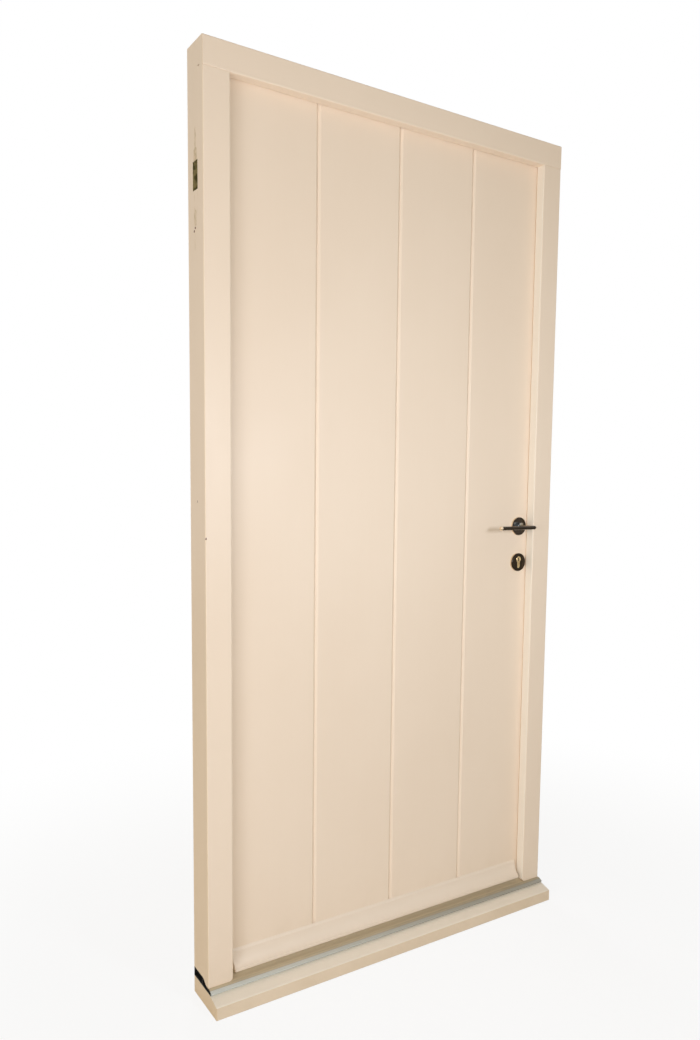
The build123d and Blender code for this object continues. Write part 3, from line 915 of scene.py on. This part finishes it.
class Shape:
    """A mesh in the making, worked by bmesh operators."""

    def __init__(self) -> None:
        """Starts with nothing."""
        self.mesh = bmesh.new()

    @classmethod
    def copy_of(cls, node: str) -> Shape:
        """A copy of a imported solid, merged, with its flat faces made whole.

        Args:
            node: Name of the solid.

        Returns:
            The copy.
        """
        shape = cls()
        mesh = shape.mesh
        mesh.from_mesh(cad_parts[node].data)
        bmesh.ops.remove_doubles(mesh, verts=mesh.verts[:], dist=MERGE_DISTANCE)
        bmesh.ops.dissolve_limit(
            mesh, angle_limit=FLAT_ANGLE, verts=mesh.verts[:], edges=mesh.edges[:]
        )
        return shape

    def soften(self, width: float, segments: int = 2, where: EdgeTest | None = None) -> Shape:
        """Rounds sharp outer edges.

        Args:
            width: Width of the rounding.
            segments: Facets across it.
            where: Test that picks edges; all of them without it.

        Returns:
            This shape.
        """
        sharp = [
            edge
            for edge in self.mesh.edges
            if edge.is_manifold
            and edge.is_convex
            and edge.calc_face_angle(0.0) > SOFT_ANGLE
            and (where is None or where(edge))
        ]
        bmesh.ops.bevel(
            self.mesh,
            geom=sharp,
            offset=width,
            offset_type="OFFSET",
            affect="EDGES",
            segments=segments,
            profile=0.5,
            material=-1,
            clamp_overlap=False,
        )
        return self

    def ring(self, radius: float, sides: int, place: Matrix) -> Edges:
        """Adds a round loop of edges.

        Args:
            radius: Its radius.
            sides: How many edges it has.
            place: Where it lies, its axis along the local Z.

        Returns:
            The edges.
        """
        made = bmesh.ops.create_circle(
            self.mesh, cap_ends=False, radius=radius, segments=sides, matrix=place
        )
        return list(dict.fromkeys(edge for vert in made["verts"] for edge in vert.link_edges))

    def loop(self, points: Sequence[Span], place: Matrix) -> Edges:
        """Adds a closed loop of edges through points in a place's X and Y."""
        verts = [self.mesh.verts.new(place @ Vector((x, y, 0.0))) for x, y in points]
        return [self.mesh.edges.new((verts[n - 1], verts[n])) for n in range(len(verts))]

    def join(self, first: Edges, second: Edges) -> None:
        """Spans two loops with faces."""
        bmesh.ops.bridge_loops(self.mesh, edges=first + second)

    def cap(self, edges: Edges) -> bmesh.types.BMFace:
        """Closes a loop with one face and gives the face."""
        return bmesh.ops.contextual_create(self.mesh, geom=edges)["faces"][0]

    def sink(self, face: bmesh.types.BMFace, depth: float, draft: float) -> None:
        """Sets a face back, with sides down to it that lean in by a draft."""
        bmesh.ops.inset_individual(
            self.mesh, faces=[face], thickness=draft, depth=-depth, use_even_offset=True
        )

    def piece(self, name: str, body: Body, finish: Finish, nodes: Sequence[str] = ()) -> None:
        """Ends the shape as a piece of the door.

        Args:
            name: Name of the piece.
            body: The body that it moves with.
            finish: Its finish.
            nodes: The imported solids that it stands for.
        """
        bmesh.ops.recalc_face_normals(self.mesh, faces=self.mesh.faces[:])
        mesh = bpy.data.meshes.new(name)
        self.mesh.to_mesh(mesh)
        self.mesh.free()
        mesh.shade_smooth()
        mesh.set_sharp_from_angle(angle=SMOOTH_ANGLE)
        thing = bpy.data.objects.new(name, mesh)
        bpy.context.scene.collection.objects.link(thing)
        weigh_normals(thing)
        thing.data.materials.append(Wardrobe.of(finish))
        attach(thing, body.value)
        if nodes:
            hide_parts(*nodes)
        LOG.info("%s on %s, %d faces", name, body.value, len(thing.data.polygons))


def dress(node: str, finish: Finish) -> None:
    """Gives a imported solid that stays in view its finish.

    Args:
        node: Name of the solid.
        finish: Its finish.
    """
    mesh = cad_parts[node].data
    mesh.materials.clear()
    mesh.materials.append(Wardrobe.of(finish))
    LOG.info("%s in %s", node, finish.name)


def softened(
    node: str,
    body: Body,
    finish: Finish,
    width: float,
    segments: int = 2,
    where: EdgeTest | None = None,
) -> None:
    """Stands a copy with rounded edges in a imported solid's place."""
    shape = Shape.copy_of(node).soften(width, segments, where)
    shape.piece(f"{node}_soft", body, finish, [node])


def facing(direction: Vector, point: Vector, turn: float = 0.0) -> Matrix:
    """Place at a point with its Z along a direction, turned about it by so many radians."""
    upright = direction.to_track_quat("Z", "Y").to_matrix().to_4x4()
    return Matrix.Translation(point) @ upright @ Matrix.Rotation(turn, 4, "Z")


@dataclass(frozen=True)
class ScrewHead:
    """Raised head of a wood screw with a cross recess."""

    radius: float = 4.0 * MM
    height: float = 0.9 * MM
    crown_share: float = 0.78
    crown_rise: float = 0.6
    recess_reach: float = 2.3 * MM
    recess_half: float = 0.55 * MM
    recess_depth: float = 0.7 * MM
    recess_draft: float = 0.15 * MM
    sides: int = 24

    def cross(self) -> list[Span]:
        """Corners of the recess, one quarter after another.

        Returns:
            The corners.
        """
        reach, half = self.recess_reach, self.recess_half
        quarter = [(half, reach), (half, half), (reach, half)]
        corners: list[Span] = []
        for _ in range(4):
            corners += quarter
            quarter = [(y, -x) for x, y in quarter]
        return corners

    def add(self, shape: Shape, place: Matrix) -> None:
        """Adds one head to a shape.

        Args:
            shape: The shape in the making.
            place: Where the head stands, its axis along the local Z.
        """
        rise = Matrix.Translation((0, 0, self.crown_rise * self.height))
        rim = shape.ring(self.radius, self.sides, place)
        crown = shape.ring(self.radius * self.crown_share, self.sides, place @ rise)
        top = shape.loop(self.cross(), place @ Matrix.Translation((0, 0, self.height)))
        shape.join(rim, crown)
        shape.join(crown, top)
        shape.sink(shape.cap(top), self.recess_depth, self.recess_draft)
        shape.cap(rim)


@dataclass
class DoorFrame:
    """The fixed frame: head, jambs, sill, threshold and seals."""

    arris: float = 0.8 * MM
    threshold_arris: float = 0.4 * MM
    seals: tuple[str, ...] = ("head_seal", "hinge_side_seal", "lock_side_seal")

    def build(self) -> None:
        """Makes the softened timber and the threshold."""
        self.member("frame_head", FRAME_LEVEL)
        self.member("hinge_jamb", FRAME_SCRAPED)
        self.member("lock_jamb", FRAME_UPRIGHT)
        softened("sill", Body.FRAME, SILL_PAINT, self.arris)
        softened("threshold", Body.FRAME, ALUMINIUM, self.threshold_arris)

    def member(self, node: str, finish: Finish) -> None:
        """A timber of the frame, its edges softened except inside the corner joints.

        Args:
            node: Name of the timber.
            finish: Its finish.
        """
        joint_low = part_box("frame_head")[0].z - self.arris
        joint_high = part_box("hinge_jamb")[1].z + self.arris
        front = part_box("hinge_jamb")[0].y + self.arris

        def shows(edge: Edge) -> bool:
            """Whether an edge isn't inside a joint."""
            return any(
                not joint_low < vert.co.z < joint_high or vert.co.y < front for vert in edge.verts
            )

        softened(node, Body.FRAME, finish, self.arris, where=shows)

    def dress(self) -> None:
        """Finishes the seals."""
        for name in self.seals:
            dress(name, RUBBER)


@dataclass
class BoardedLeaf:
    """The leaf: boards, framing, weatherboard and bottom seal."""

    board_count: int = 4
    stiles: tuple[str, ...] = ("hinge_stile", "lock_stile")
    rails: tuple[str, ...] = ("top_rail", "middle_rail", "bottom_rail")
    board_arris: float = 0.7 * MM
    framing_arris: float = 0.9 * MM
    weatherboard_arris: float = 0.8 * MM

    def build(self) -> None:
        """Makes the softened timber."""
        for number in range(1, self.board_count + 1):
            softened(f"board_{number}", Body.LEAF, LEAF_UPRIGHT, self.board_arris)
        for name in self.stiles:
            softened(name, Body.LEAF, LEAF_UPRIGHT, self.framing_arris)
        for name in self.rails:
            softened(name, Body.LEAF, LEAF_LEVEL, self.framing_arris)
        softened("weatherboard", Body.LEAF, WEATHERBOARD_PAINT, self.weatherboard_arris)

    def dress(self) -> None:
        """Finishes the bottom seal."""
        dress("bottom_seal", RUBBER)


@dataclass
class HingeSet:
    """Three lift-off hinges with their screws and pin caps."""

    halves: tuple[Body, ...] = (Body.FRAME, Body.LEAF)
    arris: float = 0.4 * MM
    screw_rows: tuple[float, ...] = (0.12, 0.37, 0.63, 0.88)
    screw_columns: Span = (0.32, 0.68)
    screw_turn: float = 0.7
    head: ScrewHead = ScrewHead()
    cap_radius: float = 4.6 * MM
    cap_height: float = 2.4 * MM
    cap_rounding: float = 1.44 * MM
    cap_segments: int = 5
    cap_sides: int = 40

    def build(self) -> None:
        """Makes the flaps, screw heads and pin caps of every hinge."""
        for level in HingeLevel:
            for half in self.halves:
                softened(self.flap(level, half), half, HINGE_STEEL, self.arris)
                self.screws(level, half)
                self.cap(level, half)

    @staticmethod
    def flap(level: HingeLevel, half: Body) -> str:
        """Name of a flap."""
        return f"hinge_{level.value}_{half.value}_flap"

    @staticmethod
    def axis(level: HingeLevel) -> Vector:
        """Middle of a hinge's pin."""
        low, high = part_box(f"hinge_{level.value}_pin")
        return (low + high) / 2

    def screws(self, level: HingeLevel, half: Body) -> None:
        """Screw heads of one flap, staggered in two columns.

        Args:
            level: Which hinge.
            half: Which half of it.
        """
        low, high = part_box(self.flap(level, half))
        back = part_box("hinge_jamb")[1].y
        leaf_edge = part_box("hinge_stile")[0].x
        seat, outward = leaf_edge, Vector((-1, 0, 0))
        if half is Body.FRAME:
            seat, outward = 2 * self.axis(level).x - leaf_edge, Vector((1, 0, 0))
        shape = Shape()
        for row, share in enumerate(self.screw_rows):
            deep = low.y + (back - low.y) * self.screw_columns[row % 2]
            point = Vector((seat, deep, low.z + (high.z - low.z) * share))
            self.head.add(shape, facing(outward, point, self.screw_turn * row))
        shape.piece(f"hinge_{level.value}_{half.value}_screw_heads", half, HINGE_STEEL)

    def cap(self, level: HingeLevel, half: Body) -> None:
        """Small domed cap on the end of a knuckle.

        Args:
            level: Which hinge.
            half: Which half of it.
        """
        low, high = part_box(self.flap(level, half))
        middle = self.axis(level)
        upwards, seat = (1, high.z) if half is Body.LEAF else (-1, low.z)
        place = facing(Vector((0, 0, upwards)), Vector((middle.x, middle.y, seat)))
        lifted = place @ Matrix.Translation((0, 0, self.cap_height))
        shape = Shape()
        foot = shape.ring(self.cap_radius, self.cap_sides, place)
        crown = shape.ring(self.cap_radius, self.cap_sides, lifted)
        shape.join(foot, crown)
        shape.cap(foot)
        shape.cap(crown)

        def on_crown(edge: Edge) -> bool:
            """Whether an edge is away from the seat."""
            return abs(edge.verts[0].co.z - seat) > self.cap_height / 2

        shape.soften(self.cap_rounding, self.cap_segments, on_crown)
        shape.piece(f"hinge_{level.value}_{half.value}_cap", half, HINGE_STEEL)

    def dress(self) -> None:
        """Finishes the pins."""
        for level in HingeLevel:
            dress(f"hinge_{level.value}_pin", HINGE_STEEL)


@dataclass
class LockSet:
    """Mortice lock, its plates and their screws."""

    plate_arris: float = 0.5 * MM
    bolt_arris: float = 0.6 * MM
    screw_inset: float = 9.0 * MM
    screw_turn_per_metre: float = 40.0
    head: ScrewHead = ScrewHead(radius=3.8 * MM)
    cylinder_head: ScrewHead = ScrewHead(radius=3.4 * MM)
    cylinder_screw_drop: float = 20.0 * MM
    cylinder_screw_turn: float = 0.4
    inner_parts: tuple[str, ...] = ("lock_case", "lock_follower", "spindle")

    def build(self) -> None:
        """Makes the plates, bolts and screw heads."""
        softened("strike_plate", Body.FRAME, LOCK_STEEL, self.plate_arris)
        softened("lock_faceplate", Body.LEAF, LOCK_STEEL, self.plate_arris)
        softened("latch_bolt", Body.LATCH, LOCK_STEEL, self.bolt_arris)
        softened("dead_bolt", Body.BOLT, LOCK_STEEL, self.bolt_arris)
        self.screws("strike_plate", Body.FRAME, Vector((-1, 0, 0)))
        self.screws("lock_faceplate", Body.LEAF, Vector((1, 0, 0)))

    def screws(self, plate: str, body: Body, outward: Vector) -> None:
        """Screw heads near the ends of a plate, and the cylinder's screw in the leaf's plate.

        Args:
            plate: Name of the plate.
            body: The body that it moves with.
            outward: The way that its face looks.
        """
        low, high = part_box(plate)
        face = high.x if outward.x > 0 else low.x
        middle = (low.y + high.y) / 2
        shape = Shape()
        for height in (low.z + self.screw_inset, high.z - self.screw_inset):
            point = Vector((face, middle, height))
            self.head.add(shape, facing(outward, point, height * self.screw_turn_per_metre))
        if body is Body.LEAF:
            plug_low, plug_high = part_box("outer_plug")
            height = (plug_low.z + plug_high.z) / 2 - self.cylinder_screw_drop
            point = Vector((face, middle, height))
            self.cylinder_head.add(shape, facing(outward, point, self.cylinder_screw_turn))
        shape.piece(f"{plate}_screw_heads", body, LOCK_STEEL)

    def dress(self) -> None:
        """Finishes the parts inside the leaf."""
        for name in self.inner_parts:
            dress(name, LOCK_STEEL)


@dataclass
class KeyCylinder:
    """Profile cylinder with its turning plugs."""

    arris: float = 0.5 * MM
    arris_segments: int = 3
    plug_sides: int = 56
    rim_share: float = 0.9
    keyway_depth: float = 7.0 * MM
    # Corners of the keyway in millimetres, as it is seen from outside.
    keyway: tuple[Span, ...] = (
        (-1.5, 4.6), (1.4, 4.6), (1.4, 1.6), (2.4, 0.9), (2.4, -1.0), (1.1, -1.8),
        (1.1, -4.6), (-1.8, -4.6), (-1.8, -1.4), (-0.9, -0.6), (-0.9, 1.2), (-1.5, 1.8),
    )

    def build(self) -> None:
        """Makes the body and both plugs."""
        softened("cylinder_body", Body.LEAF, BRASS, self.arris, self.arris_segments)
        for side in Side:
            self.plug(side)

    def plug(self, side: Side) -> None:
        """A plug with a keyway in its outer face.

        Args:
            side: The face of the leaf that it shows on.
        """
        node = f"{side.value}_plug"
        low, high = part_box(node)
        radius = (high.z - low.z) / 2
        middle = (low + high) / 2
        face, turn = (low.y, 0.0) if side is Side.OUTER else (high.y, math.pi)
        centre = Vector((middle.x, face, middle.z))
        upright = Matrix.Rotation(turn, 4, "Z") @ Matrix.Rotation(QUARTER_TURN, 4, "X")
        front = Matrix.Translation(centre) @ upright
        back = front @ Matrix.Translation((0, 0, low.y - high.y))
        shape = Shape()
        rim = shape.ring(radius, self.plug_sides, front)
        slot = shape.loop([(x * MM, y * MM) for x, y in self.keyway], front)
        end = shape.ring(radius, self.plug_sides, back)
        shape.join(rim, slot)
        shape.join(rim, end)
        shape.cap(end)
        shape.sink(shape.cap(slot), self.keyway_depth, draft=0.0)

        def on_rim(edge: Edge) -> bool:
            """Whether an edge is outside the keyway."""
            return all((vert.co - centre).length > self.rim_share * radius for vert in edge.verts)

        shape.soften(self.arris, self.arris_segments, on_rim)
        shape.piece(f"{node}_keyed", Body.KEY_BARREL, PLUG_BRASS, [node])

    def dress(self) -> None:
        """Finishes the cam."""
        dress("cylinder_cam", BRASS)


@dataclass
class HandleSet:
    """Levers, roses and escutcheons on both faces of the leaf."""

    rose_rounding: float = 1.8 * MM
    escutcheon_rounding: float = 2.6 * MM
    rim_segments: int = 6
    rim_share: float = 0.96
    face_tolerance: float = 0.01 * MM
    lever_rounding: float = 0.8 * MM
    lever_segments: int = 4

    def build(self) -> None:
        """Makes the furniture of both faces."""
        for side in Side:
            self.disc(f"{side.value}_rose", side, self.rose_rounding)
            self.disc(f"{side.value}_escutcheon", side, self.escutcheon_rounding)
            lever = f"{side.value}_lever"
            softened(lever, Body.HANDLE, BRONZE, self.lever_rounding, self.lever_segments)

    def disc(self, node: str, side: Side, rounding: float) -> None:
        """A rose or escutcheon with a rounded rim.

        Args:
            node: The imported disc.
            side: The face of the leaf that it is on.
            rounding: Width of the rounding.
        """
        low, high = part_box(node)
        face = low.y if side is Side.OUTER else high.y
        middle = (low + high) / 2
        rim = self.rim_share * (high.x - low.x) / 2

        def on_rim(edge: Edge) -> bool:
            """Whether an edge is on the front rim."""
            return all(
                abs(vert.co.y - face) < self.face_tolerance
                and math.hypot(vert.co.x - middle.x, vert.co.z - middle.z) > rim
                for vert in edge.verts
            )

        shape = Shape.copy_of(node).soften(rounding, self.rim_segments, on_rim)
        shape.piece(f"{node}_rounded", Body.LEAF, BRONZE, [node])


@dataclass(frozen=True)
class Lamp:
    """A round soft lamp."""

    name: str
    place: Point
    aim: Point
    size: float
    power: float
    colour: Colour

    def build(self) -> None:
        """Sets the lamp up."""
        light = bpy.data.lights.new(self.name, "AREA")
        light.shape = "DISK"
        light.size = self.size
        light.energy = self.power
        light.color = self.colour
        thing = bpy.data.objects.new(self.name, light)
        bpy.context.scene.collection.objects.link(thing)
        look = (Vector(self.aim) - Vector(self.place)).to_track_quat("-Z", "Y")
        thing.matrix_world = Matrix.Translation(self.place) @ look.to_matrix().to_4x4()


LEAF_FRONT: Point = (-0.10, 0.03, 1.10)
LEAF_BACK: Point = (0.0, 0.09, 1.10)


@dataclass
class Studio:
    """Floor, light and camera."""

    image_width: float = 700.0
    image_height: float = 1040.0
    focal_pixels: float = 867.2
    axis_pixel: Span = (430.0, 556.5)
    sensor: float = 36.0
    camera_place: Point = (-1.180, -1.789, 1.227)
    heading: float = 35.40
    tilt: float = -5.69
    roll: float = 1.11
    floor_size: float = 16.0
    floor_drop: float = 0.2 * MM
    floor_pale: Colour = (0.90, 0.90, 0.90)
    floor_deep: Colour = (0.88, 0.88, 0.88)
    floor_mottle: Pattern = Pattern((3.0,) * 3, 2.0)
    floor_white: float = 0.85
    floor_fade: Span = (0.6, 2.0)
    ambient: float = 0.38
    ambient_colour: Colour = (1.0, 0.89, 0.69)
    lamps: tuple[Lamp, ...] = (
        Lamp("front_lamp", (0.06, -1.50, 1.27), LEAF_FRONT, 0.30, 7.2, (1.0, 1.10, 1.24)),
        Lamp("near_lamp", (-1.80, -1.75, 1.25), LEAF_FRONT, 0.60, 8.2, (1.0, 0.92, 0.90)),
        Lamp("side_lamp", (-3.30, -1.90, 1.20), LEAF_FRONT, 1.20, 30.0, (1.0, 1.04, 1.10)),
        Lamp("back_lamp", (0.50, 2.20, 1.30), LEAF_BACK, 0.80, 16.0, (1.0, 1.05, 1.16)),
    )

    def build(self) -> None:
        """Sets up the studio."""
        bpy.context.scene.view_settings.view_transform = "Standard"
        self.floor()
        self.world()
        for lamp in self.lamps:
            lamp.build()
        self.camera()

    def floor_material(self) -> Material:
        """Matt white that keeps a shadow and fades to plain white further off.

        Returns:
            The material.
        """
        shader = Shader("studio_floor")
        tone = shader.mix(shader.noise(self.floor_mottle), self.floor_deep, self.floor_pale)
        matt = shader.add("ShaderNodeBsdfDiffuse", sockets={"Color": tone})
        white = shader.add("ShaderNodeEmission", sockets={"Color": WHITE, "Strength": 1.0})
        place = shader.place()
        distance = (place.across * place.across + place.deep * place.deep).math("SQRT")
        share = distance.rise(*self.floor_fade) * (1 - self.floor_white) + self.floor_white
        seen = shader.add("ShaderNodeLightPath", output="Is Camera Ray") * share
        return shader.show(shader.add("ShaderNodeMixShader", sockets={0: seen, 1: matt, 2: white}))

    def floor(self) -> None:
        """A white floor just under the door."""
        mesh = bmesh.new()
        level = Matrix.Translation((0, 0, cad_box[0].z - self.floor_drop))
        bmesh.ops.create_grid(
            mesh, x_segments=1, y_segments=1, size=self.floor_size / 2, matrix=level
        )
        data = bpy.data.meshes.new("studio_floor")
        mesh.to_mesh(data)
        mesh.free()
        data.materials.append(self.floor_material())
        thing = bpy.data.objects.new("studio_floor", data)
        bpy.context.scene.collection.objects.link(thing)

    def world(self) -> None:
        """Even soft light all round, white where it is looked at."""
        world = bpy.data.worlds.new("studio")
        bpy.context.scene.world = world
        world.use_nodes = True
        sky = Nodes(world.node_tree)
        light = {"Color": self.ambient_colour, "Strength": self.ambient}
        soft = sky.add("ShaderNodeBackground", sockets=light)
        white = sky.add("ShaderNodeBackground", sockets={"Color": WHITE, "Strength": 1.0})
        seen = sky.add("ShaderNodeLightPath", output="Is Camera Ray")
        for name in ("Is Glossy Ray", "Is Transmission Ray"):
            seen = seen.math("MAXIMUM", sky.add("ShaderNodeLightPath", output=name))
        blend = sky.add("ShaderNodeMixShader", sockets={0: seen, 1: soft, 2: white})
        sky.node("ShaderNodeOutputWorld", sockets={"Surface": blend})

    def camera(self) -> None:
        """The camera, at the photograph's angle and framing."""
        data = bpy.data.cameras.new("camera")
        data.sensor_width = self.sensor
        data.lens = self.focal_pixels * self.sensor / self.image_height
        data.shift_x = (self.image_width / 2 - self.axis_pixel[0]) / self.image_height
        data.shift_y = (self.axis_pixel[1] - self.image_height / 2) / self.image_height
        thing = bpy.data.objects.new("camera", data)
        bpy.context.scene.collection.objects.link(thing)
        turn = Matrix.Rotation(math.radians(-self.heading), 4, "Z")
        tilt = Matrix.Rotation(math.radians(90 + self.tilt), 4, "X")
        roll = Matrix.Rotation(math.radians(self.roll), 4, "Z")
        thing.matrix_world = Matrix.Translation(self.camera_place) @ turn @ tilt @ roll
        bpy.context.scene.camera = thing


def main() -> None:
    """Builds and dresses the door, then the studio."""
    logging.basicConfig(level=logging.INFO, format="%(name)s: %(message)s")
    for part in (DoorFrame(), BoardedLeaf(), HingeSet(), LockSet(), KeyCylinder()):
        part.build()
        part.dress()
    HandleSet().build()
    Studio().build()


if __name__ == "__main__":
    main()
